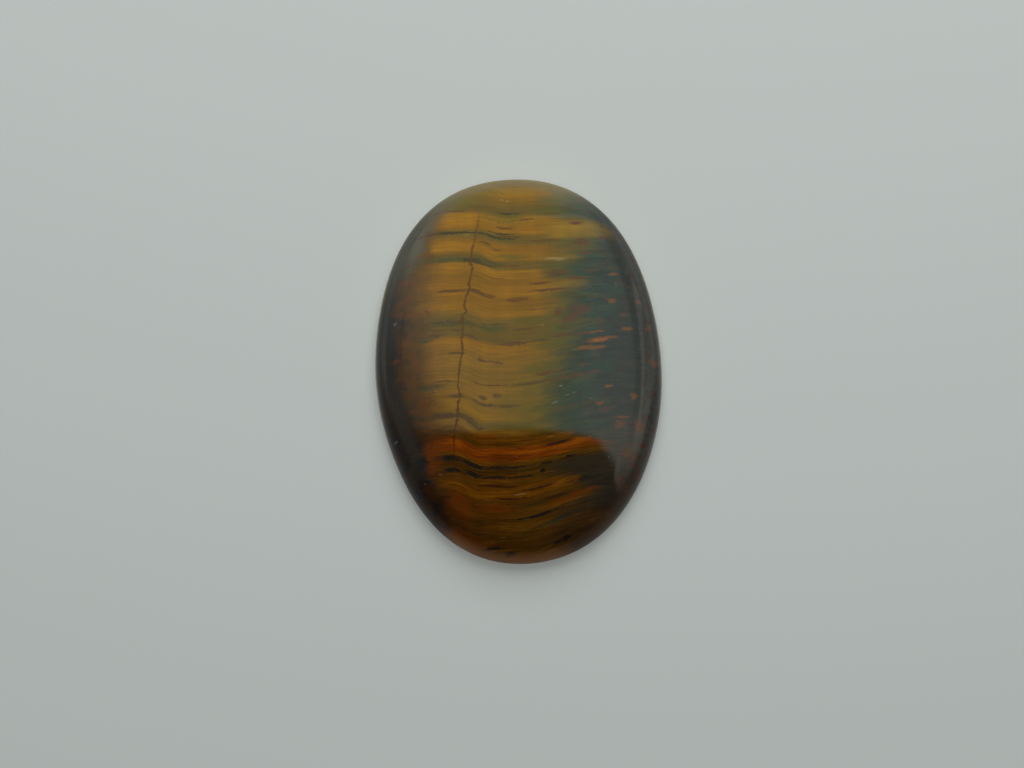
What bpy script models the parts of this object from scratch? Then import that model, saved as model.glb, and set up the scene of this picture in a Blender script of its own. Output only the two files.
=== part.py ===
"""Oval tiger's eye cabochon: one polished stone with a low dome, a rounded shoulder and a flat back.

The stone lies on its flat back. Its origin is the middle of that back, +Z is up through the dome
and +Y runs along the stone's length. A round blank is turned first, as wide as the stone, and its
plan is then drawn out to the leaning, slightly uneven oval that a hand-held grind leaves.
"""

from math import atan2, ceil, cos, hypot, pi, radians, sin

import bpy

MM = 0.001

# Plan, at the girdle, which is the widest line round the stone
HALF_WIDTH = 15.0 * MM
HALF_LENGTH = 20.62 * MM
SQUARENESS = 2.14  # 2 is a true ellipse, and more fills the corners out
LEAN = radians(3.0)  # the long axis leans anticlockwise, seen from above
# Slow waves of the grind: how many round the outline, depth as a share of the radius, direction
GRIND_WAVES = (
    (1, 0.010, radians(78)),
    (3, 0.004, radians(33)),
    (4, 0.003, radians(-8)),
    (5, 0.004, radians(-20)),
    (6, 0.003, radians(4)),
)

# Profile, from the back up
BACK_BEVEL_WIDTH = 0.45 * MM
BACK_BEVEL_HEIGHT = 0.35 * MM
WALL_DRAFT = 0.05 * MM  # how far the short wall leans in below the girdle
GIRDLE_HEIGHT = 0.80 * MM
SHOULDER_WIDTH = 3.1 * MM
SHOULDER_HEIGHT = 2.7 * MM
DOME_RISE = 2.6 * MM

SEGMENTS = 96
SHOULDER_RINGS = 9
DOME_RING_SPACING = 1.6 * MM
MERGE_DISTANCE = 0.000001

STONE_COLOUR = (0.24, 0.115, 0.03, 1.0)
STONE_ROUGHNESS = 0.08


def clear_scene():
    """Removes what the scene starts with."""
    for leftover in list(bpy.data.objects):
        bpy.data.objects.remove(leftover)


def girdle_radius(angle):
    """The distance from the stone's middle to its girdle in one direction."""
    turned = angle - LEAN
    across = abs(cos(turned) / HALF_WIDTH) ** SQUARENESS
    along = abs(sin(turned) / HALF_LENGTH) ** SQUARENESS
    waves = sum(depth * cos(count * (angle - towards)) for count, depth, towards in GRIND_WAVES)
    return (across + along) ** (-1 / SQUARENESS) * (1 + waves)


def dome_lift(share):
    """The low dome's height above the shoulder's top, at a share of the way out to the girdle."""
    return DOME_RISE * (1 - share * share)


def shoulder_profile():
    """(radius, height) down the quarter-round shoulder of the round blank, from its top."""
    points = []
    for ring in range(SHOULDER_RINGS + 1):
        turn = pi / 2 * (1 - ring / SHOULDER_RINGS)
        radius = HALF_WIDTH - SHOULDER_WIDTH * (1 - cos(turn))
        rise = SHOULDER_HEIGHT * sin(turn) + dome_lift(radius / HALF_WIDTH)
        points.append((radius, GIRDLE_HEIGHT + rise))
    return points


def blank_profile():
    """(radius, height) of the round blank, from the dome's top down to the middle of the back."""
    shoulder = shoulder_profile()
    inner_radius = shoulder[0][0]
    rings = ceil(inner_radius / DOME_RING_SPACING)
    dome = []
    for ring in range(rings):
        radius = inner_radius * ring / rings
        rise = SHOULDER_HEIGHT + dome_lift(radius / HALF_WIDTH)
        dome.append((radius, GIRDLE_HEIGHT + rise))
    wall_foot = (HALF_WIDTH - WALL_DRAFT, BACK_BEVEL_HEIGHT)
    back_edge = (HALF_WIDTH - WALL_DRAFT - BACK_BEVEL_WIDTH, 0.0)
    return dome + shoulder + [wall_foot, back_edge, (0.0, 0.0)]


def turn_blank(name):
    """A closed round blank: the profile turned about Z, as one mesh."""
    profile = blank_profile()
    outline = bpy.data.meshes.new("blank_profile")
    outline.from_pydata(
        [(radius, 0.0, height) for radius, height in profile],
        [(i, i + 1) for i in range(len(profile) - 1)],
        [],
    )
    turned = bpy.data.objects.new("blank_profile", outline)
    bpy.context.scene.collection.objects.link(turned)
    screw = turned.modifiers.new("turn", "SCREW")
    screw.axis = "Z"
    screw.angle = 2 * pi
    screw.steps = screw.render_steps = SEGMENTS
    screw.use_merge_vertices = True
    screw.merge_threshold = MERGE_DISTANCE
    graph = bpy.context.evaluated_depsgraph_get()
    blank = bpy.data.meshes.new_from_object(turned.evaluated_get(graph))
    blank.name = name
    bpy.data.objects.remove(turned)
    return blank


def draw_out_to_oval(mesh):
    """Moves the round blank's points out to the oval plan, keeping the shoulder's width all round."""
    blank_inner = HALF_WIDTH - SHOULDER_WIDTH
    for vertex in mesh.vertices:
        x, y, z = vertex.co
        old_radius = hypot(x, y)
        angle = atan2(y, x)
        girdle = girdle_radius(angle)
        if old_radius > blank_inner:
            radius = girdle - (HALF_WIDTH - old_radius)
        else:
            radius = (girdle - SHOULDER_WIDTH) * old_radius / blank_inner
        if z > GIRDLE_HEIGHT:
            z += dome_lift(radius / girdle) - dome_lift(old_radius / HALF_WIDTH)
        vertex.co = (radius * cos(angle), radius * sin(angle), z)


def centre_plan(mesh):
    """Puts the middle of the plan's box on the origin."""
    xs = [vertex.co.x for vertex in mesh.vertices]
    ys = [vertex.co.y for vertex in mesh.vertices]
    middle_x = (min(xs) + max(xs)) / 2
    middle_y = (min(ys) + max(ys)) / 2
    for vertex in mesh.vertices:
        vertex.co.x -= middle_x
        vertex.co.y -= middle_y


def stone_material():
    """Polished golden brown stone."""
    material = bpy.data.materials.new("tigers_eye")
    material.use_nodes = True
    shader = material.node_tree.nodes["Principled BSDF"]
    shader.inputs["Base Color"].default_value = STONE_COLOUR
    shader.inputs["Roughness"].default_value = STONE_ROUGHNESS
    shader.inputs["Metallic"].default_value = 0.0
    return material


def make_stone(collection):
    """The cabochon, one solid."""
    mesh = turn_blank("tigers_eye")
    draw_out_to_oval(mesh)
    centre_plan(mesh)
    mesh.shade_smooth()
    mesh.set_sharp_from_angle(angle=radians(40))
    mesh.materials.append(stone_material())
    stone = bpy.data.objects.new("tigers_eye", mesh)
    collection.objects.link(stone)


def main():
    clear_scene()
    collection = bpy.data.collections.new("tigers_eye_cabochon")
    bpy.context.scene.collection.children.link(collection)
    make_stone(collection)


main()
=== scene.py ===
"""Looks of the tiger's eye cabochon: the polished banded stone, the paper, the light and the camera."""

from math import cos, pi, radians, sin

import bpy
import numpy as np
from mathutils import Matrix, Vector


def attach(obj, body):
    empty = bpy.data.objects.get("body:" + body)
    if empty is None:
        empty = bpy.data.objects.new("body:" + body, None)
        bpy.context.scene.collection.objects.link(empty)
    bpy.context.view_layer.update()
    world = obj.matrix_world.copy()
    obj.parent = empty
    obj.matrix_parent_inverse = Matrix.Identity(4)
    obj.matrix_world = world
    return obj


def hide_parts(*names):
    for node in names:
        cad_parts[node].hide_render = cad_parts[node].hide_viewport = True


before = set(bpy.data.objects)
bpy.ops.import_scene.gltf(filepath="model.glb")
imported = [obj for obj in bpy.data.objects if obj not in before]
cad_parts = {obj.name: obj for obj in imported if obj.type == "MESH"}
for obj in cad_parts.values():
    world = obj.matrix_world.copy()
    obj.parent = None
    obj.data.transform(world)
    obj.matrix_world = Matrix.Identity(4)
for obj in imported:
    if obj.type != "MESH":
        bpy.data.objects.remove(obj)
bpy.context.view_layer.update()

MM = 0.001
STONE = "tigers_eye"

# Profile of the stone, from the back up
BACK_BEVEL_WIDTH = 0.45 * MM
BACK_BEVEL_HEIGHT = 0.35 * MM
WALL_DRAFT = 0.05 * MM
GIRDLE_HEIGHT = 0.80 * MM
SHOULDER_WIDTH = 3.1 * MM
SHOULDER_HEIGHT = 2.7 * MM
DOME_RISE = 2.6 * MM

# Fine mesh
SEGMENTS = 576
DOME_RINGS = 84
SHOULDER_RINGS = 56
WALL_RINGS = 4
BEVEL_RINGS = 3
BACK_RINGS = 14
GIRDLE_HARMONICS = 14
MAP_SIZE = 60 * MM
SKIN = 0.012 * MM  # how far the fine surface keeps inside the CAD solid's corners

# Camera, at the photograph's angle
CAMERA_DISTANCE = 300 * MM
CAMERA_ELEVATION = radians(79)
CAMERA_LENS = 101.15
CAMERA_CLIP = 10 * MM
CAMERA_TARGET = Vector((-0.685, -2.07, 3.5)) * MM

# Paper, and the panels that light it: name, place, size, radiance, whether it casts shadows
PAPER_COLOUR = (0.72, 0.775, 0.745)
PAPER_ROUGHNESS = 0.9
PAPER_HALF = 1.5
PANELS = (
    ("far_panel", (0.02, 0.25, 0.31), 0.34, 2.0, True),
    ("far_fill", (0.02, 0.25, 0.31), 0.34, 2.2, False),
    ("overhead_panel", (0, 0, 1.2), 2.4, 0.18, False),
)

# The room that the polish mirrors. A span gives the directions over which a part goes from none to full
WARM_LIGHT = (1.0, 0.96, 0.45)
COOL_LIGHT = (0.98, 1.03, 0.92)
COOL_CENTRE = -0.1
COOL_SPAN = (0.14, 0.55)
HORIZON = (-0.009, 0.014)
HORIZON_BLUR = 0.35
HORIZON_BLUR_SPAN = (0.5, 0.95)
FAR_LEFT_LIGHT = 0.36
FAR_SLANT = 0.8
FAR_SPAN = (-0.50, -0.12)
CORNER_LIGHT = 0.35
CORNER_SPANS = ((-0.55, -0.75), (0.12, 0.4))
LOW_LIGHT = 0.75
LOW_SPAN = (0.0, 0.6)
RIGHT_DIMMING = 0.35
RIGHT_DIMMING_SPAN = (0.45, 0.75)
STRIP_LIGHT = 0.35
STRIP_PLACE = (0.87, 0.3, 0.2)  # its x, how much it bends, and the y where it is straight
STRIP_SPANS = ((0.06, 0.015), (-0.2, 0.1))
FRONT_LIGHT = 0.03
FRONT_RIGHT_LIGHT = (0.21, 0.6)
FRONT_RIGHT_SLANT = (0.8, 0.40)
FRONT_RIGHT_SPAN = (-0.05, 0.01)
FRONT_LEFT_LIGHT = 0.3
FRONT_LEFT_SPAN = (-0.2, -1.0)
FRONT_TOP_SPAN = (-0.4, 0.0)
FLOOR_LIGHT = 0.03
FLOOR_SPAN = (0.35, 0.0)

# From here to the materials' end, places and sizes on the stone are in millimetres, seen from above
PATTERN_SHIFT = (0.10, 0.14, 0.0)  # the pattern's own middle lies this much nearer the near left
TOP_HEIGHT = 6.1
DOME_CURVE = (0.01156, 0.00619)  # the dome falls by these times x and y squared
LAYER_DIP = 0.25  # how far the layers slant along the stone for each mm of depth

# Flow of the layers, which run across the stone, and step down past the kink
KINK_HALF_WIDTH = 1.5
KINK_BESIDE_CRACK = 1.45
KINK_DROP = (
    (-20.5, 1.1), (-10.0, 1.15), (-5.5, 1.35), (-1.0, 0.8), (4.0, 0.75), (8.0, 0.85), (11.0, 1.0),
    (14.0, 0.65), (17.0, 0.5), (20.5, 0.4),
)
RISE_SPAN = (-1.0, 11.0)
RISE = (
    (-20.5, 3.4), (-14.0, 2.9), (-9.0, 2.0), (-4.0, 1.9), (1.0, 1.8), (6.0, 1.1), (12.0, 0.4),
    (20.5, 0.25),
)
FALL_START = -7.0
FALL_PER_MM = 0.04

# The crack's route down the stone: (y, x)
CRACK = (
    (-13.0, -6.7), (-10.0, -6.6), (-7.2, -6.55), (-5.9, -6.2), (-4.5, -6.2), (-3.5, -5.95),
    (-2.5, -6.2), (-1.3, -6.1), (-0.1, -5.95), (1.1, -5.7), (2.4, -5.8), (3.7, -5.7), (4.9, -5.8),
    (5.3, -5.3), (6.0, -5.6), (6.8, -5.4), (7.9, -4.95), (8.3, -5.1), (9.2, -4.85), (10.1, -4.7),
    (10.6, -5.0), (11.1, -4.8), (11.7, -4.85), (13.4, -4.45), (14.6, -4.25), (16.5, -3.95),
    (19.5, -3.6),
)

# Colours of the stone: gold and brown
HONEY = (0.255, 0.112, 0.004)
GOLD = (0.228, 0.098, 0.004)
AMBER = (0.212, 0.085, 0.003)
STRAW = (0.200, 0.105, 0.005)
TAN = (0.225, 0.104, 0.015)
COPPER = (0.200, 0.066, 0.003)
BROWN = (0.140, 0.050, 0.003)
UMBER = (0.115, 0.042, 0.003)
DARK_BROWN = (0.062, 0.027, 0.005)

# Green and grey
OLIVE = (0.105, 0.056, 0.010)
GREY_OLIVE = (0.115, 0.064, 0.018)
MOSS = (0.070, 0.062, 0.010)
LICHEN = (0.078, 0.074, 0.046)
SMOKE = (0.062, 0.066, 0.058)

# Blue-green
SLATE = (0.046, 0.058, 0.052)
STEEL = (0.050, 0.078, 0.070)
TEAL = (0.003, 0.036, 0.030)
DEEP_TEAL = (0.002, 0.016, 0.016)
DEEP = (0.010, 0.013, 0.013)
NAVY = (0.006, 0.011, 0.020)

# Dark
BLACK = (0.0, 0.0, 0.0)
INK = (0.008, 0.010, 0.014)
CHARCOAL = (0.022, 0.010, 0.004)
NIGHT = (0.038, 0.027, 0.017)

# Red and orange
BLAZE = (0.360, 0.095, 0.003)
FLAME = (0.195, 0.040, 0.002)
EMBER = (0.160, 0.050, 0.002)
BRICK = (0.125, 0.034, 0.004)
RUST = (0.085, 0.022, 0.003)
RUSSET = (0.085, 0.022, 0.012)
CLEFT = (0.075, 0.017, 0.002)
OXBLOOD = (0.050, 0.014, 0.006)
PLUM = (0.070, 0.026, 0.022)

# Pale: the pale dashes, then the rim's painted light and painted highlight
PALE = (0.42, 0.42, 0.32)
# Painted light where the thin rim at the far end glows
PAINTED_GLOW = (0.34, 0.28, 0.12)
# Painted light where the rim at the near end glows reddish
PAINTED_NEAR_GLOW = (0.255, 0.105, 0.036)
# Painted highlight along the thin line of the far edge
PAINTED_RIM_HIGHLIGHT = (0.64, 0.53, 0.24)

# Sections across the layers, from the far end of the stone to the near end: (place, colour)
UPPER_SEAM = (
    (20.4, BROWN), (19.5, TAN), (18.4, GOLD), (17.3, GREY_OLIVE), (16.5, GREY_OLIVE), (16.15, HONEY),
    (15.2, GOLD), (14.6, AMBER), (14.25, OLIVE), (14.05, GREY_OLIVE), (13.85, OLIVE),
    (13.6, GREY_OLIVE), (13.2, AMBER), (12.0, GOLD), (11.5, OLIVE), (11.15, GREY_OLIVE), (10.8, OLIVE),
    (10.5, GOLD), (9.4, AMBER), (7.0, AMBER), (5.6, GOLD), (5.0, GREY_OLIVE), (3.9, OLIVE),
    (2.9, GREY_OLIVE), (2.4, AMBER), (0.6, TAN), (-2.8, TAN), (-4.8, HONEY), (-5.6, GREY_OLIVE),
    (-6.2, TAN),
)
LOWER_SEAM = (
    (-6.2, OLIVE), (-6.9, BROWN), (-7.6, UMBER), (-8.1, FLAME), (-9.0, FLAME), (-9.5, BROWN),
    (-10.3, DARK_BROWN), (-11.0, BROWN), (-11.8, UMBER), (-12.5, COPPER), (-13.4, UMBER),
    (-14.0, DARK_BROWN), (-14.7, BROWN), (-15.4, UMBER), (-16.0, BROWN), (-16.8, BROWN),
    (-17.5, COPPER), (-18.4, BROWN), (-19.3, COPPER), (-21.0, BRICK),
)
RIGHT_SEAM = (
    (20.2, OLIVE), (18.6, STEEL), (17.2, SLATE), (16.4, STEEL), (15.9, OLIVE), (15.5, STRAW),
    (14.2, STRAW), (13.6, MOSS), (12.9, OLIVE), (12.0, STRAW), (11.5, OLIVE), (11.0, TEAL),
    (10.0, DEEP_TEAL), (9.5, OLIVE), (9.0, STRAW), (8.3, GOLD), (7.6, OLIVE), (6.0, MOSS), (4.8, OLIVE),
    (3.2, MOSS), (1.6, OLIVE), (-0.4, STRAW), (-2.2, OLIVE), (-4.0, GREY_OLIVE), (-5.6, SLATE),
    (-7.0, MOSS),
)

# Edges of the blue-green side, of the dark left margin and of the right border: (y, x)
BLUE_EDGE = (
    (-20.0, 3.2), (-18.0, 3.4), (-16.5, 2.8), (-15.0, 4.2), (-13.6, 7.6), (-12.2, 4.4), (-10.6, 3.4),
    (-9.6, 7.6), (-8.3, 8.8), (-7.2, 3.6), (-6.0, 2.6), (-4.0, 2.8), (-2.0, 3.1), (0.0, 3.4),
    (1.4, 4.6), (3.0, 4.9), (4.4, 4.3), (6.0, 4.4), (7.4, 5.2), (8.6, 6.6), (9.6, 5.4), (11.0, 5.4),
    (12.4, 7.2), (14.6, 9.2), (15.6, 8.0), (16.4, 4.2), (18.0, 4.6), (19.4, 7.0), (20.5, 9.0),
)
LEFT_EDGE = (
    (-19.0, -5.6), (-16.0, -7.2), (-14.0, -8.2), (-12.0, -9.0), (-9.0, -9.3), (-6.0, -8.9),
    (-4.0, -9.3), (0.0, -9.8), (4.0, -9.7), (6.0, -10.2), (8.0, -9.9), (10.0, -9.4), (12.0, -9.5),
    (14.0, -9.2), (15.6, -8.6), (17.0, -7.6), (19.0, -5.8),
)
RIGHT_EDGE = (
    (-19.0, 4.5), (-16.0, 8.0), (-13.0, 10.0), (-10.0, 11.2), (-6.0, 12.2), (0.0, 12.9), (5.0, 12.5),
    (9.0, 11.6), (13.0, 9.9), (16.0, 8.4), (19.0, 5.5),
)

# Markings in the layers: (x, y, half length, half width)
RUST_STREAKS = (
    (-6.7, 7.65, 1.9, 0.19), (-4.1, 7.45, 1.5, 0.22), (-2.9, 6.95, 0.7, 0.22), (0.0, 6.6, 1.4, 0.25),
    (3.4, 7.65, 2.2, 0.17), (2.3, 8.35, 1.1, 0.15), (4.2, 9.6, 1.5, 0.24), (6.2, 9.0, 1.1, 0.20),
    (-1.4, 14.35, 1.0, 0.15), (-0.9, 13.45, 1.3, 0.13), (6.6, 12.9, 0.7, 0.4), (6.2, 15.1, 0.8, 0.14),
    (-2.2, 12.0, 0.5, 0.08), (1.0, 15.4, 1.0, 0.10), (7.6, 9.9, 0.9, 0.17), (3.0, -1.25, 1.4, 0.20),
    (6.7, -0.3, 0.5, 0.2), (2.9, 13.15, 1.6, 0.08), (2.0, -13.1, 2.0, 0.17), (4.1, -13.9, 1.4, 0.17),
    (5.4, -9.9, 1.5, 0.15), (3.0, -15.7, 1.5, 0.13), (-2.0, -13.0, 2.4, 0.11), (-1.0, -14.2, 2.2, 0.12),
    (6.4, 5.6, 1.3, 0.6), (4.2, 5.4, 0.4, 0.6), (5.6, 4.6, 1.0, 0.5), (4.7, 2.9, 1.2, 0.22),
    (6.6, 3.1, 1.1, 0.2), (5.6, -1.5, 1.6, 0.2), (7.8, -1.0, 0.9, 0.16), (9.0, -4.9, 0.9, 0.3),
    (11.0, 5.2, 0.5, 0.3), (6.7, 12.9, 0.9, 0.4), (7.2, 11.8, 0.8, 0.2), (8.9, 13.6, 0.5, 0.3),
    (-2.6, 8.9, 1.2, 0.06), (-6.5, 16.5, 1.4, 0.08), (3.5, 16.1, 1.2, 0.09), (-1.0, 10.2, 1.6, 0.06),
    (-3.0, -2.6, 1.8, 0.06),
)
DUSKY_STREAKS = (
    (-8.6, 2.85, 0.8, 0.20), (-5.0, 2.75, 1.0, 0.22), (-0.5, 1.85, 1.8, 0.27), (2.4, 2.25, 1.0, 0.13),
    (-6.4, 0.85, 0.9, 0.17), (-3.8, 0.08, 0.45, 0.19), (-2.0, -0.22, 0.6, 0.17),
    (-2.9, -0.08, 0.8, 0.08), (-6.4, -3.6, 1.1, 0.19), (-3.6, -3.85, 0.45, 0.20),
    (-2.1, -3.7, 0.5, 0.21), (-3.3, -4.65, 1.3, 0.20), (-1.0, -4.7, 1.3, 0.14), (1.6, -2.35, 2.4, 0.14),
    (-4.5, -6.75, 1.0, 0.26), (0.6, 3.4, 1.6, 0.10), (-7.6, -2.0, 1.4, 0.08), (4.6, -4.8, 1.4, 0.15),
    (-7.4, -5.55, 1.7, 0.36), (-5.2, -5.95, 1.2, 0.34), (-7.0, 4.3, 2.2, 0.10), (-7.2, 3.4, 2.0, 0.09),
    (-2.6, 3.9, 1.8, 0.09), (2.4, 5.6, 1.6, 0.07),
)
INK_LINES = (
    (-7.6, 13.98, 2.6, 0.17), (-5.6, 14.0, 2.4, 0.10), (-1.6, 13.7, 1.6, 0.07),
    (-2.2, 13.35, 2.0, 0.11), (-4.6, 10.85, 1.2, 0.32), (-3.4, 10.35, 1.1, 0.22),
    (-7.0, -9.95, 1.4, 0.27), (-4.6, -10.75, 1.3, 0.32), (-1.0, -11.05, 2.8, 0.17),
    (-6.6, -11.15, 1.4, 0.27), (-4.6, -11.75, 1.1, 0.28), (-2.6, -12.15, 1.5, 0.18),
    (0.2, -12.1, 1.6, 0.10), (4.2, -8.45, 1.5, 0.18), (2.6, -11.35, 0.3, 0.22), (5.4, -9.75, 0.5, 0.15),
    (5.0, -17.95, 0.6, 0.28), (4.2, -18.35, 0.6, 0.16), (-0.8, -19.45, 0.6, 0.2),
    (-2.6, -19.0, 1.2, 0.13), (2.9, -10.6, 0.7, 0.14), (-1.0, 16.15, 1.6, 0.11),
    (-3.4, 12.85, 0.6, 0.08), (-9.9, -10.4, 0.7, 0.6), (2.0, -15.9, 2.6, 0.10),
)
FLAME_PATCHES = (
    (6.0, -12.2, 0.35, 0.24), (5.0, -14.2, 1.8, 0.30), (6.9, -13.35, 1.9, 0.34),
    (-6.0, -14.9, 1.4, 1.6), (-6.2, -8.8, 1.6, 0.6), (-3.4, -7.9, 1.6, 0.34), (-2.4, -15.2, 2.6, 0.5),
    (3.2, -12.3, 1.6, 0.14), (-5.4, -18.0, 2.0, 0.9), (0.6, -19.9, 1.6, 0.4), (-8.8, -9.8, 1.2, 1.6),
)
TEAL_PATCHES = (
    (5.4, -3.7, 2.2, 1.5), (7.0, -3.0, 1.6, 0.9), (5.6, -6.2, 1.4, 0.8), (6.6, 9.9, 1.6, 0.8),
    (7.2, 17.6, 1.3, 0.8), (8.6, 5.6, 2.0, 0.8), (8.4, -0.6, 2.0, 0.7), (9.8, 8.0, 1.4, 0.6),
    (-6.6, 10.95, 3.0, 0.3), (-2.7, 10.5, 1.6, 0.3), (-6.6, 4.2, 2.6, 0.4), (-2.6, 3.5, 1.8, 0.4),
    (-9.0, -2.6, 1.4, 0.3), (-9.6, 2.4, 0.9, 0.3), (4.0, -16.4, 1.6, 0.3),
)
BRICK_PATCHES = (
    (11.4, -9.2, 0.8, 0.9), (10.8, -12.2, 0.7, 0.9), (12.6, -6.6, 0.6, 0.9), (10.6, -6.4, 0.7, 0.6),
    (-9.0, 5.6, 0.9, 0.6), (-9.6, -7.4, 1.0, 0.8), (-9.4, -4.0, 0.9, 1.3), (-10.2, 0.0, 0.8, 0.9),
    (-8.6, -6.3, 0.6, 0.5), (-9.2, -5.6, 0.9, 0.5), (-11.4, 2.4, 1.0, 0.7), (-10.9, 4.9, 0.8, 0.5),
    (-11.6, 8.6, 0.7, 0.5), (-12.4, 0.4, 0.6, 0.4), (-12.0, 6.6, 0.6, 0.5), (-10.4, 0.9, 0.7, 0.5),
    (-9.8, 11.8, 0.7, 0.5),
)
OLIVE_PATCHES = (
    (-5.8, 17.9, 2.4, 0.8), (-3.6, 18.9, 2.2, 0.3), (3.2, 16.3, 2.2, 0.5), (3.4, 2.2, 2.6, 1.0),
    (2.6, -0.6, 2.4, 0.7), (1.6, 4.4, 2.6, 0.5), (3.2, -4.6, 2.2, 0.7), (-1.4, 15.6, 2.6, 0.7),
    (6.6, 4.2, 1.8, 0.9), (-1.6, 13.2, 2.4, 0.3), (-6.6, 16.9, 2.0, 0.4), (-0.6, 11.2, 2.0, 0.3),
)
EMBER_PATCHES = (
    (8.3, 2.35, 1.2, 0.40), (9.6, 2.75, 1.0, 0.18), (7.0, 1.5, 1.1, 0.24), (8.3, 1.55, 0.9, 0.22),
    (11.4, 3.7, 0.7, 0.24), (8.1, 3.3, 1.0, 0.16), (9.8, 6.7, 0.5, 0.28), (14.2, 0.5, 0.45, 0.45),
    (12.1, -3.4, 0.45, 0.28), (8.5, -4.3, 0.5, 0.2), (12.6, 6.9, 0.3, 0.24), (9.4, -2.4, 0.5, 0.16),
    (10.9, -5.7, 0.6, 0.2), (10.0, 9.6, 0.5, 0.18), (13.7, 4.2, 0.4, 0.4),
)
BLAZE_PATCHES = (
    (6.3, -8.2, 1.3, 0.40), (5.2, -8.7, 1.8, 0.34), (1.6, -9.4, 2.4, 0.2), (-6.4, -8.4, 0.9, 0.4),
    (8.6, 2.4, 0.9, 0.2),
)
NIGHT_PATCHES = (
    (6.3, -10.5, 3.6, 0.9), (9.0, -13.9, 1.6, 1.2), (5.6, -15.6, 2.0, 0.3), (-10.4, -10.8, 0.9, 1.5),
)
PALE_DASHES = (
    (3.8, 11.05, 1.3, 0.13), (4.2, 11.02, 0.7, 0.16), (4.3, 11.0, 0.5, 0.16), (-1.1, 17.5, 0.14, 0.12),
    (-1.65, 17.65, 0.18, 0.07), (-5.4, 13.72, 0.35, 0.05), (2.6, 3.85, 0.09, 0.11),
    (4.45, -2.55, 0.20, 0.06), (5.2, -3.5, 0.25, 0.06), (5.9, -3.2, 0.20, 0.05),
    (3.8, -4.35, 0.28, 0.07), (7.6, -3.8, 0.16, 0.06), (-0.05, -9.95, 0.10, 0.09),
    (-8.0, -11.65, 0.25, 0.09), (-9.6, -12.4, 0.10, 0.10), (0.3, -13.75, 0.55, 0.06),
    (3.4, -7.75, 0.35, 0.06), (9.4, -9.8, 0.08, 0.08), (10.3, 8.6, 0.08, 0.10),
    (-12.7, -7.8, 0.2, 0.12), (-12.8, 4.4, 0.2, 0.2), (-7.6, 4.4, 0.10, 0.05), (-1.5, -18.2, 0.3, 0.05),
    (9.5, 6.5, 0.10, 0.06), (-4.1, 0.5, 0.05, 0.05),
)

# Sets of markings: (colour, weight where broken, weight more where whole, the markings)
PATCHES = (
    (MOSS, 0.3, 0.35, OLIVE_PATCHES),
    (TEAL, 0.3, 0.3, TEAL_PATCHES),
    (FLAME, 0.3, 0.4, FLAME_PATCHES),
    (EMBER, 0.35, 0.55, EMBER_PATCHES),
    (BLAZE, 0.3, 0.3, BLAZE_PATCHES),
)
BLOTCHES = (
    (BRICK, 0.1, 0.7, BRICK_PATCHES),
    (NIGHT, 0.8, 0.0, NIGHT_PATCHES),
)
LINES = (
    (PLUM, 0.45, 0.45, DUSKY_STREAKS),
    (INK, 0.5, 0.4, INK_LINES),
)
RUST_WEIGHT = (0.55, 0.4)
RUST_LOSS_ON_BLUE = 0.25
PALE_WEIGHT = 0.22
MARK_EDGE = (1.3, 0.5)
MARK_ROUGHNESS = 2.2

# Grain of each noise: swings for each mm along x, along y or across the layers, and down, detail, roughness
GRAINS = {
    "sway": (0.12, 0.5, 0.2, 2.0, 0.5),
    "broad": (0.06, 0.8, 0.2, 3.0, 0.6),
    "fibres": (0.16, 2.6, 0.5, 3.0, 0.6),
    "silk": (0.35, 8.0, 1.0, 2.0, 0.6),
    "ragged": (0.8, 4.0, 1.0, 3.0, 0.6),
    "mottle": (0.55, 1.1, 1.0, 5.0, 0.65),
    "fringe": (0.14, 1.2, 0.3, 4.0, 0.6),
    "specks": (1.0, 2.0, 2.0, 3.0, 0.6),
    "crumbs": (2.2, 5.5, 1.0, 3.0, 0.7),
    "blotch": (0.5, 0.55, 1.0, 5.0, 0.6),
    "grime": (1.1, 1.3, 1.0, 4.0, 0.65),
    # Painted sheen: faint upright bands where the fibres' sheen changes
    "painted_sheen_folds": (0.7, 0.05, 0.0, 3.0, 0.5),
    "jitter": (0.0, 1.6, 1.0, 5.0, 0.75),
    "beads": (1.0, 2.6, 1.0, 3.0, 0.7),
}
NOISE_MIDDLE = 0.5

# From here on a span gives two values of a place or a noise, between which a share goes from none to full,
# and a wander says how far a noise shifts a place
SWAY_WANDER = 0.45
NEAR_END_SPAN = (-6.3, -6.9)

# Gold layers
LAYER_WANDER = (0.3, 0.16)  # by the fibres and the ragged noise
RIGHT_SEAM_WANDER = (5.0, 3.0)  # by the fibres and the mottle
RIGHT_SEAM_SPAN = (1.6, 5.4)
FINENESS = (0.5, 1.0)  # at the far end, and how much more at the near end
FIBRE_SWING = 0.7
SILK_SWING = 1.6
BROAD_SWING = 1.2
# Painted sheen in faint upright bands
PAINTED_SHEEN_FOLD_SWING = 0.5
# Painted sheen: the gold made lighter towards the left, away from the near end
LEFT_PAINTED_SHEEN = 0.14
LEFT_PAINTED_SHEEN_SPAN = (-3.5, -8.0)
DUSK_SPANS = ((0.52, 0.68), (0.45, 0.6))  # of the ragged noise and the fibres
DUSK_WEIGHT = (0.10, 0.45)

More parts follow.
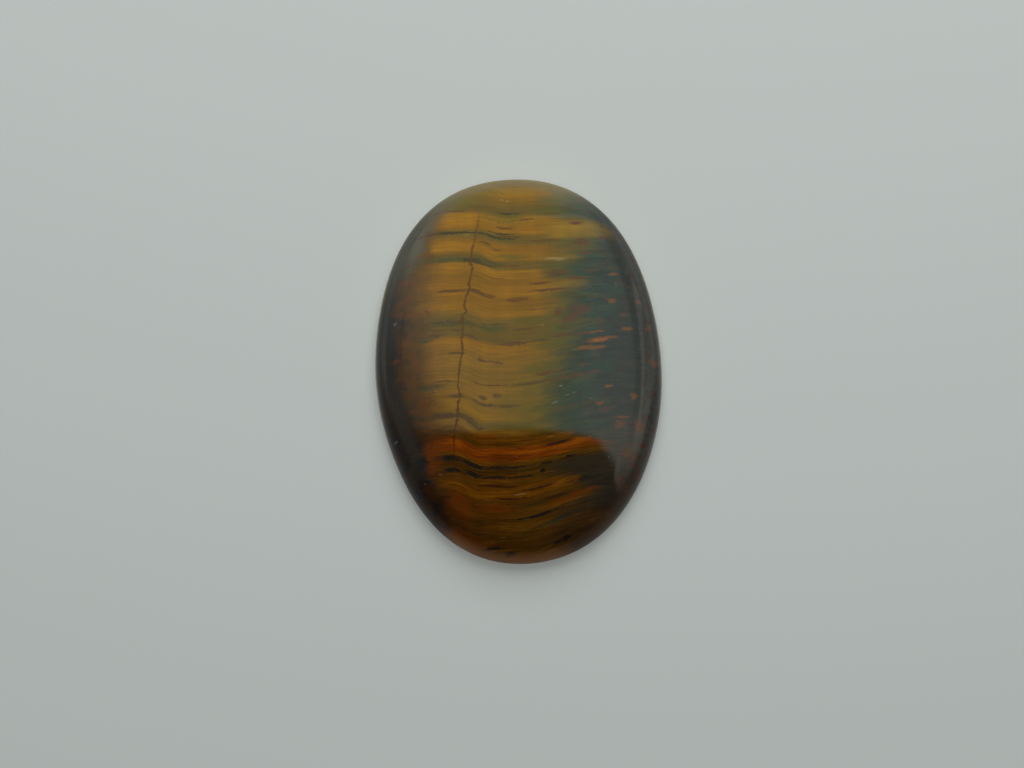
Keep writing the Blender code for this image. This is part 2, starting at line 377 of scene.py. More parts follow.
# Blue-green side, its dark tones partly the stone's own colour and partly painted shade
BLUE_WANDER = (7.0, 3.0)  # by the fringe and the mottle
BLUE_SPAN = (-0.9, 2.2)
GREEN_SPAN = (-3.6, 0.8)
GREEN_LEAD = 2.6
GREEN_LEAD_SPAN = (1.0, -5.0)
GREEN_WEIGHT = (0.6, 0.42)
HAWK_SPAN = (0.38, 0.62)
HAWK_SWINGS = (1.0, 1.5, 1.0)  # by the silk, the fibres and the ragged noise
NAVY_IN_BLUE = (0.5, (0.46, 0.62))
MOSS_IN_BLUE = (0.45, (0.5, 0.66))
UMBER_IN_BLUE = (0.22, (0.52, 0.66))
DEEP_ON_RIGHT = (0.75, (8.0, 10.5))
DEEP_WANDER = 3.0
NIGHT_NEAR_END = (0.85, (-8.0, -12.5))
NIGHT_SLANT = 0.3
UMBER_NEAR_END = (0.7, (-13.0, -16.5))

# Left side: a red-brown border and a dark margin, the margin partly the stone's own colour and partly
# painted shade
LEFT_WANDER = (1.4, 2.6)  # by the fringe and the blotches
BORDER_WEIGHT = 0.85
BORDER_SPAN = (-2.0, 1.0)
RUSTY_SPAN = (0.42, 0.58)
GRIME_IN_RUST = (0.6, (0.46, 0.64))
MARGIN_START = (1.2, 1.8)  # mm left of the edge, and how much nearer towards the ends
MARGIN_MIDDLE = 2.0
MARGIN_END_SPAN = (6.5, 10.5)
MARGIN_WANDER = 3.0
MARGIN_SPAN = (0.0, 2.2)
MARGIN_WEIGHT = 0.92
INK_SPAN = (0.42, 0.58)
LICHEN_FAR_END = (0.95, (5.5, 12.0))

# Right border
BEYOND_WANDER = 3.0
BEYOND_SPAN = (-0.6, 1.6)
BEYOND_WEIGHT = (0.55, 0.2)
SMOKE_END_SPAN = (-8.0, -12.0)
RUSSET_SPAN = (0.54, 0.40)
RUSSET_LOSS = (0.6, (-12.0, -15.0))

# Flecks and the edges of markings
FLECK_WEIGHT = 0.75
FLECK_SPANS = ((0.60, 0.70), (0.40, 0.56))  # of the specks and the mottle
MARK_WANDER = (0.6, 0.22, 0.1)  # along by the ragged noise, and across by it and the silk
BROKEN_SPAN = (0.36, 0.50)
PATCHY_SPAN = (0.56, 0.40)

# Crack
CRACK_WANDER = 0.35
CRACK_NEAR_SPAN = (-12.0, -6.0)
CRACK_FAR_LOSS = (0.45, (11.5, 13.5))
CRACK_FAR_SPAN = (16.6, 14.8)
CRACK_HALF_WIDTH = (0.10, 0.26)  # where it is thin, and how much more where it is wide
CRACK_CORE = 0.03
BEADS_SPAN = (0.40, 0.66)
BEADS_ROW = 3.0
CRACK_WEIGHT = 0.95

# Rim: painted light where the thin rim glows, and a painted highlight along its far edge
GLOW_WEIGHT = 0.7
GLOW_SPANS = ((4.4, 2.1), (0.2, 1.6), (12.0, 17.0), (10.5, 5.0))  # down, up, towards the far end, sideways
GLOW_MIDDLE = -0.8
NEAR_GLOW_WEIGHT = 0.8
NEAR_GLOW_SPANS = ((3.2, 1.8), (-13.5, -17.0), (7.7, 4.6))  # down, towards the near end, sideways
NEAR_GLOW_MIDDLE = -1.2
RIM_WEIGHT = 0.85
RIM_SPANS = ((1.9, 1.3), (0.7, 1.1), (-14.0, 16.0))  # down, up, towards the far end

# Finish
SHOULDER_DULLING = (0.68, 0.2)  # of the polish, and how much more on the near side
SHOULDER_SPAN = (3.2, 2.5)
SHOULDER_LIFT = 0.55
NEAR_SIDE_SPAN = (2.0, -8.0)
BACK_SPAN = (0.06, 0.02)
BACK_COAT_LOSS = 0.85
BODY_METALLIC = 0.75
BODY_ROUGHNESS = 0.38
BACK_ROUGHNESS_MORE = 0.12
FIBRE_SHEEN = 0.75
COAT_ROUGHNESS = 0.03
COAT_IOR = 1.54
RELIEF_STRENGTH = 0.3
RELIEF_HEIGHT = 0.05 * MM  # in metres, as the bump takes it
SILK_IN_RELIEF = 0.5


class Wire:
    """One output socket of a material. Arithmetic on it adds Math nodes."""

    def __init__(self, shading, socket):
        self.shading = shading
        self.socket = socket

    def maths(self, operation, first, second):
        return self.shading.add("ShaderNodeMath", {"operation": operation}, {0: first, 1: second})

    def __add__(self, other):
        return self.maths("ADD", self, other)

    def __radd__(self, other):
        return self.maths("ADD", other, self)

    def __sub__(self, other):
        return self.maths("SUBTRACT", self, other)

    def __rsub__(self, other):
        return self.maths("SUBTRACT", other, self)

    def __mul__(self, other):
        return self.maths("MULTIPLY", self, other)

    def __rmul__(self, other):
        return self.maths("MULTIPLY", other, self)

    def __truediv__(self, other):
        return self.maths("DIVIDE", self, other)

    def __abs__(self):
        return self.maths("ABSOLUTE", self, 0.0)


class Shading:
    """The nodes of one material or world. add() is the only place where a node is made."""

    def __init__(self, owner, shader):
        self.owner = owner
        owner.use_nodes = True
        self.tree = owner.node_tree
        self.shader = self.tree.nodes[shader]

    def add(self, kind, settings, sockets, output=0):
        """One node: its settings first, then the values or links of its sockets. Returns one output."""
        node = self.tree.nodes.new(kind)
        for name, value in settings.items():
            if name == "stops":
                set_stops(node.color_ramp, value)
            elif name == "route":
                set_route(node.mapping, value)
            else:
                setattr(node, name, value)
        for name, value in sockets.items():
            self.feed(node.inputs[name], value)
        return Wire(self, node.outputs[output])

    def feed(self, socket, value):
        """Links a wire to a socket, or sets a plain value on it."""
        if isinstance(value, Wire):
            self.tree.links.new(value.socket, socket)
        elif hasattr(value, "__len__") and socket.type == "RGBA":
            socket.default_value = (*value[:3], 1.0)
        else:
            socket.default_value = value

    def finish(self, **sockets):
        """Sets the shader's own sockets, named with underscores for spaces."""
        for name, value in sockets.items():
            self.feed(self.shader.inputs[name.replace("_", " ")], value)
        return self.owner

    def mix(self, first, second, share):
        """A colour between two others."""
        settings = {"data_type": "RGBA"}
        return self.add("ShaderNodeMix", settings, {0: share, 6: first, 7: second}, output=2)

    def tint(self, colour, amount):
        """A colour made lighter or darker by a factor: a mix with black whose share may pass 1."""
        settings = {"data_type": "RGBA", "clamp_factor": False}
        return self.add("ShaderNodeMix", settings, {0: amount, 6: BLACK, 7: colour}, output=2)

    def vector(self, x, y, z=0.0):
        return self.add("ShaderNodeCombineXYZ", {}, {0: x, 1: y, 2: z})

    def grain(self, name, x, y, z):
        """Soft noise of about 0.3 to 0.7, with the named grain."""
        *swings, detail, roughness = GRAINS[name]
        at = self.vector(*(place * swing for place, swing in zip((x, y, z), swings)))
        sockets = {"Vector": at, "Scale": 1.0, "Detail": detail, "Roughness": roughness}
        return self.add("ShaderNodeTexNoise", {}, sockets)

    def blend(self, first, second, share):
        """A number between two others."""
        return first + (second - first) * share

    def ramp(self, place, stops):
        """A colour read from a list of (place, colour), which may run down as well as up."""
        first = stops[0][0]
        span = stops[-1][0] - first
        even = tuple(((at - first) / span, colour) for at, colour in stops)
        return self.add("ShaderNodeValToRGB", {"stops": even}, {0: (place - first) / span})

    def curve(self, place, points):
        """A number read from a list of (place, number), in straight steps."""
        places = [at for at, _ in points]
        numbers = [number for _, number in points]
        span = places[-1] - places[0]
        least = min(numbers)
        reach = max(numbers) - least
        route = [((at - places[0]) / span, (number - least) / reach) for at, number in points]
        share = (place - places[0]) / span
        return self.add("ShaderNodeFloatCurve", {"route": route}, {"Value": share}) * reach + least


def set_stops(ramp, stops):
    """Fills a colour ramp."""
    ramp.elements.remove(ramp.elements[1])
    ramp.elements[0].position = stops[0][0]
    ramp.elements[0].color = (*stops[0][1], 1.0)
    for place, colour in stops[1:]:
        ramp.elements.new(place).color = (*colour, 1.0)


def set_route(mapping, points):
    """Fills a float curve."""
    curve = mapping.curves[0]
    curve.points[0].location = points[0]
    curve.points[1].location = points[-1]
    for place in points[1:-1]:
        curve.points.new(*place)
    for point in curve.points:
        point.handle_type = "VECTOR"
    mapping.update()


def smooth(value, low, high):
    """0 below low, 1 above high and a smooth step between. low may be the higher, which turns it over."""
    if isinstance(value, Wire):
        # A smooth step ends at 0 and 1 by itself, so it needs no clamp, which would be a node of its own
        settings = {"interpolation_type": "SMOOTHSTEP", "clamp": False}
        sockets = {"Value": value, "From Min": low, "From Max": high}
        return value.shading.add("ShaderNodeMapRange", settings, sockets)
    share = min(max((value - low) / (high - low), 0.0), 1.0)
    return share * share * (3 - 2 * share)


def at_least(value, floor):
    """The larger of a value and a floor."""
    if isinstance(value, Wire):
        return value.maths("MAXIMUM", value, floor)
    return max(value, floor)


def read(points, place):
    """A number read from a list of (place, number), as a wire or as a plain number."""
    if isinstance(place, Wire):
        return place.shading.curve(place, points)
    return float(np.interp(place, [at for at, _ in points], [number for _, number in points]))


def across_layers(x, y, crack_x):
    """The place across the layers: y, plus the step past the kink and the fall on the left, less the rise.

    A layer that lies level on the left so steps down at the kink, and then rises to the right, the more so
    the nearer it is to the stone's near end.
    """
    kink_x = crack_x + KINK_BESIDE_CRACK
    step = read(KINK_DROP, y) * smooth(x, kink_x - KINK_HALF_WIDTH, kink_x + KINK_HALF_WIDTH)
    rise = read(RISE, y) * smooth(x, *RISE_SPAN)
    before = at_least(FALL_START - x, 0.0)
    return y + step - rise + FALL_PER_MM * 0.5 * before * before


def cover(shading, at, rough, markings):
    """How much of a point the markings cover: each is an ellipse in the layers' flow, with a rough edge."""
    most = 0.0
    for x, y, half_length, half_width in markings:
        centre = (x, across_layers(x, y, read(CRACK, y)), 0.0)
        scale = (1 / half_length, 1 / half_width, 0.0)
        shift = tuple(-middle * size for middle, size in zip(centre, scale))
        placed = {0: at, 1: scale, 2: shift}
        offset = shading.add("ShaderNodeVectorMath", {"operation": "MULTIPLY_ADD"}, placed)
        distance = shading.add("ShaderNodeVectorMath", {"operation": "LENGTH"}, {0: offset}, output="Value")
        mask = smooth(distance + rough, *MARK_EDGE)
        most = mask if most == 0.0 else mask.maths("MAXIMUM", mask, most)
    return most


def wander(noise, reach):
    """A noise as a shift to either side of 0."""
    return (noise - NOISE_MIDDLE) * reach


def swing(noise, amount):
    """A noise as a factor to either side of 1."""
    return (noise - NOISE_MIDDLE) * amount + 1.0


class Spot:
    """A point of the stone in the pattern's own millimetres, and the noises that several parts read."""

    def __init__(self, paint):
        self.paint = paint
        place = paint.add("ShaderNodeTexCoord", {}, {}, output="Object")
        in_mm = {0: place, 1: (1 / MM, 1 / MM, 1 / MM), 2: PATTERN_SHIFT}
        place = paint.add("ShaderNodeVectorMath", {"operation": "MULTIPLY_ADD"}, in_mm)
        self.x = paint.add("ShaderNodeSeparateXYZ", {}, {0: place}, output=0)
        self.flat_y = paint.add("ShaderNodeSeparateXYZ", {}, {0: place}, output=1)
        self.z = paint.add("ShaderNodeSeparateXYZ", {}, {0: place}, output=2)
        dome = TOP_HEIGHT - DOME_CURVE[0] * self.x * self.x - DOME_CURVE[1] * self.flat_y * self.flat_y
        self.y = self.flat_y + LAYER_DIP * (dome - self.z)
        self.crack_x = read(CRACK, self.y)
        level = across_layers(self.x, self.y, self.crack_x)
        self.across = level + wander(paint.grain("sway", self.x, level, self.z), SWAY_WANDER)
        self.near_end = smooth(self.across, *NEAR_END_SPAN)
        self.broad = self.layered("broad")
        self.fibres = self.layered("fibres")
        self.silk = self.layered("silk")
        self.ragged = self.layered("ragged")
        self.mottle = self.layered("mottle")
        self.fringe = self.layered("fringe")
        self.blotch = self.unlayered("blotch")
        self.grime = self.unlayered("grime")

    def layered(self, name):
        """A noise that runs with the layers."""
        return self.paint.grain(name, self.x, self.across, self.z)

    def unlayered(self, name):
        """A noise that lies over the layers."""
        return self.paint.grain(name, self.x, self.y, self.z)

    def add_some(self, colour, tint, place, weight_and_span):
        """A colour with a tint mixed in where a place or a noise is past a span."""
        weight, span = weight_and_span
        return self.paint.mix(colour, tint, weight * smooth(place, *span))


def gold_layers(spot):
    """The layers: one section on the left, another further right, and a browner one at the near end."""
    paint = spot.paint
    place = spot.across + wander(spot.fibres, LAYER_WANDER[0]) + wander(spot.ragged, LAYER_WANDER[1])
    right = spot.x + wander(spot.fibres, RIGHT_SEAM_WANDER[0]) + wander(spot.mottle, RIGHT_SEAM_WANDER[1])
    left_seam = paint.ramp(place, UPPER_SEAM)
    right_seam = paint.ramp(place, RIGHT_SEAM)
    colour = paint.mix(left_seam, right_seam, smooth(right, *RIGHT_SEAM_SPAN))
    colour = paint.mix(colour, paint.ramp(place, LOWER_SEAM), spot.near_end)
    fineness = FINENESS[0] + FINENESS[1] * spot.near_end
    streaky = swing(spot.fibres, FIBRE_SWING * fineness) * swing(spot.silk, SILK_SWING * fineness)
    # Painted sheen in faint upright bands, besides the fibres' own streaks
    streaky = streaky * swing(spot.broad, BROAD_SWING) * swing(spot.unlayered("painted_sheen_folds"), PAINTED_SHEEN_FOLD_SWING)
    # Painted sheen: the gold lighter towards the left, away from the near end
    sheen = 1 + LEFT_PAINTED_SHEEN * smooth(spot.x, *LEFT_PAINTED_SHEEN_SPAN) * (1 - spot.near_end)
    colour = paint.tint(colour, streaky * sheen)
    dusk = smooth(spot.ragged, *DUSK_SPANS[0]) * smooth(spot.fibres, *DUSK_SPANS[1])
    return paint.mix(colour, OXBLOOD, (DUSK_WEIGHT[0] + DUSK_WEIGHT[1] * spot.near_end) * dusk)


def add_blue_side(spot, colour):
    """Lays the blue-green side on, with an edge that runs in along the fibres; its dark tones are partly the
    stone's own hawk's-eye colour and partly painted shade where the fibres' sheen turns away. Returns its
    share too.
    """
    paint = spot.paint
    past_edge = spot.x - read(BLUE_EDGE, spot.y)
    past_edge = past_edge + wander(spot.fringe, BLUE_WANDER[0]) + wander(spot.mottle, BLUE_WANDER[1])
    greening = smooth(past_edge + GREEN_LEAD * smooth(spot.y, *GREEN_LEAD_SPAN), *GREEN_SPAN)
    colour = paint.mix(colour, MOSS, (GREEN_WEIGHT[0] - GREEN_WEIGHT[1] * spot.near_end) * greening)
    blue = smooth(past_edge, *BLUE_SPAN)
    hawk = paint.mix(DEEP_TEAL, TEAL, smooth(spot.mottle, *HAWK_SPAN))
    hawk = spot.add_some(hawk, NAVY, spot.broad, NAVY_IN_BLUE)
    hawk = spot.add_some(hawk, MOSS, spot.fringe, MOSS_IN_BLUE)
    hawk = spot.add_some(hawk, UMBER, spot.blotch, UMBER_IN_BLUE)
    hawk = spot.add_some(hawk, DEEP, spot.x + wander(spot.blotch, DEEP_WANDER), DEEP_ON_RIGHT)
    hawk = spot.add_some(hawk, NIGHT, spot.y - NIGHT_SLANT * spot.x, NIGHT_NEAR_END)
    hawk = spot.add_some(hawk, UMBER, spot.y, UMBER_NEAR_END)
    swings = swing(spot.silk, HAWK_SWINGS[0]) * swing(spot.fibres, HAWK_SWINGS[1])
    hawk = paint.tint(hawk, swings * swing(spot.ragged, HAWK_SWINGS[2]))
    return paint.mix(colour, hawk, blue), blue


def add_left_margin(spot, colour):
    """Lays the red-brown border and the dark margin on; the margin's darkness is partly the stone's own
    colour and partly painted shade where the fibres' sheen turns away. Returns the margin's share too.
    """
    paint = spot.paint
    before_edge = read(LEFT_EDGE, spot.y) - spot.x
    before_edge = before_edge + wander(spot.fringe, LEFT_WANDER[0]) + wander(spot.blotch, LEFT_WANDER[1])
    rusty = paint.mix(RUST, DARK_BROWN, smooth(spot.mottle, *RUSTY_SPAN))
    rusty = spot.add_some(rusty, CHARCOAL, spot.grime, GRIME_IN_RUST)
    colour = paint.mix(colour, rusty, BORDER_WEIGHT * smooth(before_edge, *BORDER_SPAN))
    toward_ends = smooth(abs(spot.y - MARGIN_MIDDLE), *MARGIN_END_SPAN)
    start = MARGIN_START[0] - MARGIN_START[1] * toward_ends
    margin = smooth(before_edge + wander(spot.mottle, MARGIN_WANDER) - start, *MARGIN_SPAN)
    dark = paint.mix(CHARCOAL, INK, smooth(spot.blotch, *INK_SPAN))
    dark = spot.add_some(dark, LICHEN, spot.y, LICHEN_FAR_END)
    return paint.mix(colour, dark, MARGIN_WEIGHT * margin), margin


def add_right_border(spot, colour):
    """Lays the smoky border on, with russet clouds."""
    paint = spot.paint
    beyond = smooth(spot.x - read(RIGHT_EDGE, spot.y) + wander(spot.blotch, BEYOND_WANDER), *BEYOND_SPAN)
    smoky = paint.mix(SMOKE, NIGHT, smooth(spot.y, *SMOKE_END_SPAN))
    fading = 1 - RUSSET_LOSS[0] * smooth(spot.y, *RUSSET_LOSS[1])
    smoky = paint.mix(smoky, RUSSET, smooth(spot.grime, *RUSSET_SPAN) * fading)
    return paint.mix(colour, smoky, (BEYOND_WEIGHT[0] + BEYOND_WEIGHT[1] * spot.near_end) * beyond)


def add_flecks(spot, colour, where):
    """Scatters rust flecks in clusters."""
    scattered = smooth(spot.layered("specks"), *FLECK_SPANS[0]) * smooth(spot.mottle, *FLECK_SPANS[1])
    return spot.paint.mix(colour, RUST, FLECK_WEIGHT * (scattered * where))


def add_markings(spot, colour, blue):
    """Lays the patches, streaks, lines, the crack and the pale dashes on, in that order."""
    paint = spot.paint
    along = spot.x + wander(spot.ragged, MARK_WANDER[0])
    across = spot.across + wander(spot.ragged, MARK_WANDER[1]) + wander(spot.silk, MARK_WANDER[2])
    at = paint.vector(along, across)
    whole = smooth(spot.ragged, *BROKEN_SPAN)
    rough = wander(spot.layered("crumbs"), MARK_ROUGHNESS)
    patchy = smooth(spot.grime, *PATCHY_SPAN)
    for tint, least, more, markings in PATCHES:
        colour = paint.mix(colour, tint, (least + more * whole) * cover(paint, at, rough, markings))
    for tint, least, more, markings in BLOTCHES:
        colour = paint.mix(colour, tint, (least + more * patchy) * cover(paint, at, rough, markings))
    weight = (RUST_WEIGHT[0] + RUST_WEIGHT[1] * whole) * (1 - RUST_LOSS_ON_BLUE * blue)
    reddish = paint.mix(RUSSET, OXBLOOD, spot.near_end)
    colour = paint.mix(colour, reddish, weight * cover(paint, at, rough, RUST_STREAKS))
    for tint, least, more, markings in LINES:
        colour = paint.mix(colour, tint, (least + more * whole) * cover(paint, at, rough, markings))
    colour = paint.mix(colour, CLEFT, CRACK_WEIGHT * crack_share(spot))
    return paint.mix(colour, PALE, PALE_WEIGHT * cover(paint, at, rough, PALE_DASHES))


def crack_share(spot):
    """The crack's share: an uneven line, fainter at the far end, that fades out towards the near end."""
    shake = wander(spot.unlayered("jitter"), CRACK_WANDER)
    beads = spot.paint.grain("beads", BEADS_ROW, spot.y, spot.z)
    strength = smooth(spot.y, *CRACK_NEAR_SPAN) * smooth(spot.y, *CRACK_FAR_SPAN)
    strength = strength * (1 - CRACK_FAR_LOSS[0] * smooth(spot.y, *CRACK_FAR_LOSS[1]))
    half_width = CRACK_HALF_WIDTH[0] + CRACK_HALF_WIDTH[1] * smooth(beads, *BEADS_SPAN)
    return smooth(abs(spot.x - spot.crack_x + shake), half_width, CRACK_CORE) * strength


def add_painted_rim_light(spot, colour):
    """Lightens the colour with painted light where the thin rim lets light through, and with a painted
    highlight along the thin line of its far edge.
    """
    paint = spot.paint
    down, up, outward, sideways = GLOW_SPANS
    glow = smooth(spot.z, *down) * smooth(spot.z, *up) * smooth(spot.flat_y, *outward)
    glow = glow * smooth(abs(spot.x - GLOW_MIDDLE), *sideways)
    colour = paint.mix(colour, PAINTED_GLOW, GLOW_WEIGHT * glow)
    down, outward, sideways = NEAR_GLOW_SPANS
    glow = smooth(spot.z, *down) * smooth(spot.flat_y, *outward)
    glow = glow * smooth(abs(spot.x - NEAR_GLOW_MIDDLE), *sideways)
    colour = paint.mix(colour, PAINTED_NEAR_GLOW, NEAR_GLOW_WEIGHT * glow)
    down, up, outward = RIM_SPANS
    rim_highlight = smooth(spot.z, *down) * smooth(spot.z, *up) * smooth(spot.flat_y, *outward)
    return paint.mix(colour, PAINTED_RIM_HIGHLIGHT, RIM_WEIGHT * rim_highlight)


def stone_material():
    """Banded tiger's eye under a clear polish, with a satin back.

    The low shoulder mirrors the shaded paper, so its polish shows less there, least of all on the near side.
    """
    paint = Shading(bpy.data.materials.new("polished_tigers_eye"), "Principled BSDF")
    spot = Spot(paint)
    colour = gold_layers(spot)
    colour, blue = add_blue_side(spot, colour)
    colour, margin = add_left_margin(spot, colour)
    colour = add_right_border(spot, colour)
    colour = add_flecks(spot, colour, at_least(blue, margin))
    colour = add_markings(spot, colour, blue)
    # Painted light where the rim glows, and a painted highlight along its far edge
    colour = add_painted_rim_light(spot, colour)
    near_side = smooth(spot.flat_y, *NEAR_SIDE_SPAN)
    dulling = SHOULDER_DULLING[0] + SHOULDER_DULLING[1] * near_side
    dulling = dulling * smooth(spot.z - SHOULDER_LIFT * near_side, *SHOULDER_SPAN)
    back = smooth(spot.z, *BACK_SPAN)
    threads = {"Strength": RELIEF_STRENGTH, "Distance": RELIEF_HEIGHT}
    threads["Height"] = spot.fibres + SILK_IN_RELIEF * spot.silk
    return paint.finish(
        Base_Color=colour,
        Metallic=BODY_METALLIC * (1 - back),
        Roughness=BODY_ROUGHNESS + BACK_ROUGHNESS_MORE * back,
        Anisotropic=FIBRE_SHEEN,
        Tangent=paint.add("ShaderNodeTangent", {"direction_type": "UV_MAP", "uv_map": "fibres"}, {}),
        Normal=paint.add("ShaderNodeBump", {}, threads),
        Specular_IOR_Level=0.0,
        Coat_Weight=(1 - BACK_COAT_LOSS * back) * (1 - dulling),
        Coat_Roughness=COAT_ROUGHNESS,
        Coat_IOR=COAT_IOR,
    )


def girdle_outline():
    """The girdle's radius by angle: a short Fourier series through the CAD stone's girdle points."""
    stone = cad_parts[STONE].data
    points = np.empty(len(stone.vertices) * 3, np.float32)
    stone.vertices.foreach_get("co", points)
    points = points.reshape(-1, 3).astype(float)
    at_girdle = points[np.abs(points[:, 2] - GIRDLE_HEIGHT) < SKIN]
    angles = np.arctan2(at_girdle[:, 1], at_girdle[:, 0])
    radii = np.hypot(at_girdle[:, 0], at_girdle[:, 1])
    counts = np.arange(1, GIRDLE_HARMONICS + 1)

    def waves(at):
        turns = np.multiply.outer(at, counts)
        return np.concatenate([np.ones(at.shape + (1,)), np.cos(turns), np.sin(turns)], axis=-1)

    share = np.linalg.lstsq(waves(angles), radii, rcond=None)[0]
    return lambda at: waves(at) @ share - SKIN


def profile():
    """(inset, share, height) of each ring from the dome's top to the middle of the back.

    On the shoulder, wall and bevel a ring lies its inset in from the girdle. On the dome and the back the
    inset is the shoulder's or the bevel's, and the ring lies at that share of the way out to it.
    """
    out = np.arange(1, DOME_RINGS + 1) / DOME_RINGS
    dome = [(SHOULDER_WIDTH, share, GIRDLE_HEIGHT + SHOULDER_HEIGHT) for share in out]
    turns = np.linspace(pi / 2, 0, SHOULDER_RINGS + 1)[1:]
    shoulder = [
        (SHOULDER_WIDTH * (1 - cos(turn)), 1.0, GIRDLE_HEIGHT + SHOULDER_HEIGHT * sin(turn))
        for turn in turns
    ]
    down = np.arange(1, WALL_RINGS + 1) / WALL_RINGS
    fall = BACK_BEVEL_HEIGHT - GIRDLE_HEIGHT
    wall = [(WALL_DRAFT * step, 1.0, GIRDLE_HEIGHT + fall * step) for step in down]
    under = np.arange(1, BEVEL_RINGS + 1) / BEVEL_RINGS
    bevel = [(WALL_DRAFT + BACK_BEVEL_WIDTH * step, 1.0, BACK_BEVEL_HEIGHT * (1 - step)) for step in under]
    inward = np.arange(BACK_RINGS - 1, 0, -1) / BACK_RINGS
    back = [(WALL_DRAFT + BACK_BEVEL_WIDTH, share, 0.0) for share in inward]
    return np.array(dome + shoulder + wall + bevel + back)


def stone_points():
    """Grid of points (ring, segment, xyz): the girdle drawn in by the ring's inset and scaled by its share.

    Above the girdle the low dome's lift, a parabola of the radius over the girdle's radius, is added.
    """
    inset, share, height = profile().T
    angles = np.arange(SEGMENTS) * 2 * pi / SEGMENTS
    girdle = girdle_outline()(angles)
    radius = (girdle - inset[:, None]) * share[:, None]
    rings_above = DOME_RINGS + SHOULDER_RINGS
    lift = DOME_RISE * (1 - (radius / girdle) ** 2)
    lift[rings_above:] = 0
    x = radius * np.cos(angles)
    y = radius * np.sin(angles)
    z = height[:, None] + lift
    return np.stack([x, y, z], axis=-1)


def add_fibre_map(mesh):
    """A UV map whose U runs along the stone, across the fibres, so that the sheen is drawn out that way.

    Each point's U and V are its y and x, with the radius taken along the surface from the dome's top down to
    the girdle and on under the back, so that the map stays open on the steep sides.
    """
    count = len(mesh.vertices)
    points = np.empty(count * 3, np.float32)
    mesh.vertices.foreach_get("co", points)
    points = points.reshape(-1, 3)
    radius = np.hypot(points[:, 0], points[:, 1])
    below = (GIRDLE_HEIGHT + SHOULDER_HEIGHT - points[:, 2]).clip(0)
    spread = 1 + below / np.maximum(radius, MM)
    flat = np.stack([points[:, 1] * spread, points[:, 0] * spread], axis=-1) / MAP_SIZE + 0.5
    corners = np.empty(len(mesh.loops), np.int32)
    mesh.loops.foreach_get("vertex_index", corners)
    mesh.uv_layers.new(name="fibres").data.foreach_set("uv", flat[corners].ravel())


def make_stone():
    """The fine stone: rings of quads between a pole on the dome's top and one in the middle of the back."""
    grid = stone_points()
    rings = len(grid)
    top = (0, 0, GIRDLE_HEIGHT + SHOULDER_HEIGHT + DOME_RISE)
    points = np.concatenate([[top], grid.reshape(-1, 3), [(0, 0, 0)]])
    ring, segment = np.meshgrid(np.arange(rings - 1), np.arange(SEGMENTS), indexing="ij")
    following = (segment + 1) % SEGMENTS
    first = 1 + ring * SEGMENTS
    second = first + SEGMENTS
    quads = np.stack([first + segment, second + segment, second + following, first + following], axis=-1)
    quads = quads.reshape(-1, 4)
    around = np.arange(SEGMENTS)
    after = (around + 1) % SEGMENTS
    last = 1 + (rings - 1) * SEGMENTS
    cap_top = np.stack([np.zeros_like(around), 1 + around, 1 + after], axis=-1)
    cap_back = np.stack([last + around, np.full_like(around, len(points) - 1), last + after], axis=-1)
    mesh = bpy.data.meshes.new("polished_tigers_eye")
    mesh.from_pydata(points.tolist(), [], quads.tolist() + cap_top.tolist() + cap_back.tolist())
    mesh.shade_smooth()
    add_fibre_map(mesh)
    mesh.materials.append(stone_material())
    stone = bpy.data.objects.new("polished_tigers_eye", mesh)
    bpy.context.scene.collection.objects.link(stone)
    return stone


def make_camera():
    """Looks down on the stone from the photograph's side."""
    camera = bpy.data.objects.new("camera", bpy.data.cameras.new("camera"))
    camera.data.lens = CAMERA_LENS
    camera.data.clip_start = CAMERA_CLIP
    away = Vector((0, -cos(CAMERA_ELEVATION), sin(CAMERA_ELEVATION)))
    camera.location = CAMERA_TARGET + away * CAMERA_DISTANCE
    camera.rotation_euler = (pi / 2 - CAMERA_ELEVATION, 0, 0)
    bpy.context.scene.collection.objects.link(camera)
    bpy.context.scene.camera = camera


def make_paper():
    """A wide flat sheet of pale paper under the stone."""
    corners = [(-1, -1), (1, -1), (1, 1), (-1, 1)]
    mesh = bpy.data.meshes.new("paper")
    mesh.from_pydata([(x * PAPER_HALF, y * PAPER_HALF, 0) for x, y in corners], [], [(0, 1, 2, 3)])
    paper = bpy.data.objects.new("paper", mesh)
    bpy.context.scene.collection.objects.link(paper)
    paint = Shading(bpy.data.materials.new("paper"), "Principled BSDF")
    paint.finish(Base_Color=PAPER_COLOUR, Roughness=PAPER_ROUGHNESS, Specular_IOR_Level=0.0)
    mesh.materials.append(paint.owner)


def make_panel(name, place, size, radiance, shadows):
    """A soft panel that faces the stone. It lights the paper and the stone's body, and isn't mirrored."""
    light = bpy.data.lights.new(name, "AREA")
    light.shape = "SQUARE"
    light.size = size
    light.energy = radiance * pi * size * size
    light.use_shadow = shadows
    lamp = bpy.data.objects.new(name, light)
    lamp.location = place
    lamp.rotation_euler = (-Vector(place)).to_track_quat("-Z", "Y").to_euler()
    lamp.visible_camera = False
    lamp.visible_glossy = False
    bpy.context.scene.collection.objects.link(lamp)


def far_side_light(x, y, z):
    """The room's far side: bright, dimmer at the left, low down and at the right, with a lit left corner."""
    light = FAR_LEFT_LIGHT + (1 - FAR_LEFT_LIGHT) * smooth(x + FAR_SLANT * y, *FAR_SPAN)
    light = light + CORNER_LIGHT * smooth(x, *CORNER_SPANS[0]) * smooth(y, *CORNER_SPANS[1])
    height = LOW_LIGHT + (1 - LOW_LIGHT) * smooth(z, *LOW_SPAN)
    return light * height * (1 - RIGHT_DIMMING * smooth(x, *RIGHT_DIMMING_SPAN))


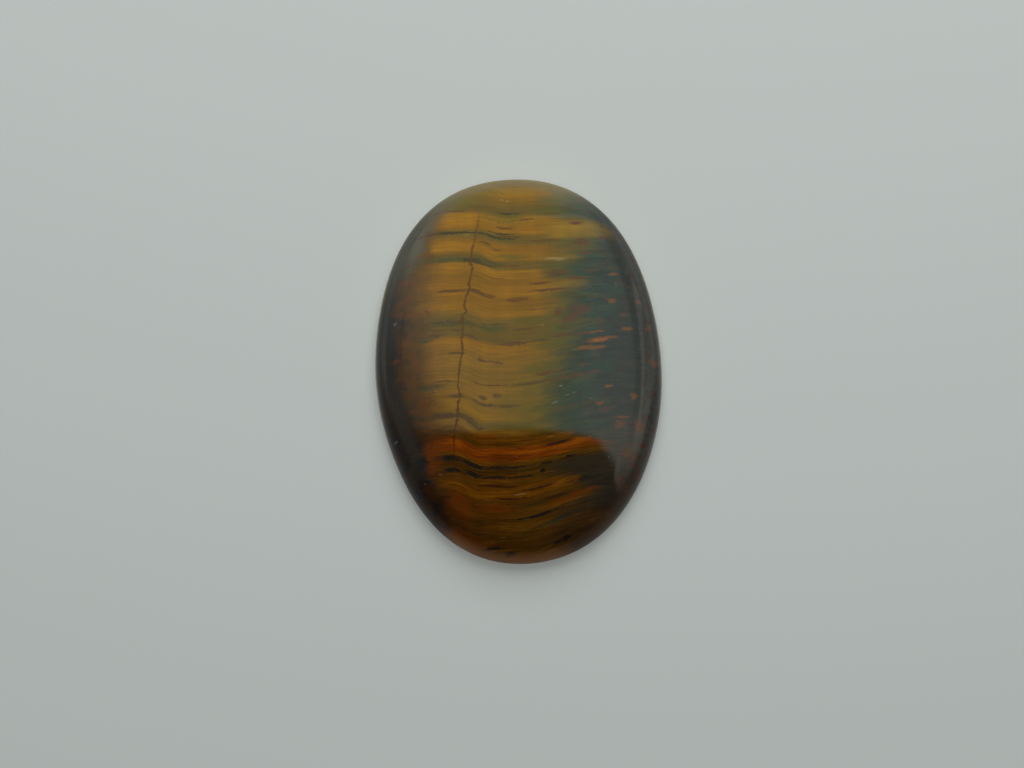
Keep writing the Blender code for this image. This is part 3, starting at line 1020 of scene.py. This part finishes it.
def front_light(x, y, z):
    """The room in front: dark, with some light from the right, from the left and near the floor."""
    toward_top = smooth(y, *FRONT_TOP_SPAN)
    slant, start = FRONT_RIGHT_SLANT
    from_right = smooth(y + slant * (x - start), *FRONT_RIGHT_SPAN)
    light = FRONT_LIGHT + (FRONT_RIGHT_LIGHT[0] + FRONT_RIGHT_LIGHT[1] * toward_top) * from_right
    light = light + FRONT_LEFT_LIGHT * smooth(x, *FRONT_LEFT_SPAN) * toward_top
    return light + FLOOR_LIGHT * smooth(z, *FLOOR_SPAN)


def make_room():
    """The room that the polish mirrors, by direction: bright overhead and on the far side, dark in front.

    Its light is warm in the middle. It has a brighter upright strip low on the right, a little bent, and the
    edge between its far side and its front is sharp overhead and blurred towards the sides.
    """
    room = Shading(bpy.data.worlds.new("room"), "Background")
    toward = room.add("ShaderNodeTexCoord", {}, {}, output="Generated")
    x = room.add("ShaderNodeSeparateXYZ", {}, {0: toward}, output=0)
    y = room.add("ShaderNodeSeparateXYZ", {}, {0: toward}, output=1)
    z = room.add("ShaderNodeSeparateXYZ", {}, {0: toward}, output=2)
    strip_x, bend, straight = STRIP_PLACE
    from_strip = abs(x - strip_x - bend * (straight - y) * (straight - y))
    strip = smooth(from_strip, *STRIP_SPANS[0]) * smooth(y, *STRIP_SPANS[1])
    blur = HORIZON_BLUR * smooth(abs(x), *HORIZON_BLUR_SPAN)
    far_share = smooth(y, HORIZON[0] - blur, HORIZON[1] + blur)
    radiance = room.blend(front_light(x, y, z), far_side_light(x, y, z), far_share) + STRIP_LIGHT * strip
    room.finish(
        Color=room.mix(WARM_LIGHT, COOL_LIGHT, smooth(abs(x - COOL_CENTRE), *COOL_SPAN)),
        Strength=radiance,
    )
    room.owner.cycles_visibility.diffuse = False
    bpy.context.scene.world = room.owner


def make_light():
    """The mirrored room, and the panels: two of one size over the far side, and a wide one overhead."""
    make_room()
    for panel in PANELS:
        make_panel(*panel)


stone = make_stone()
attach(stone, "root")
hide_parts(STONE)
make_paper()
make_camera()
make_light()
bpy.context.scene.view_settings.view_transform = "Standard"
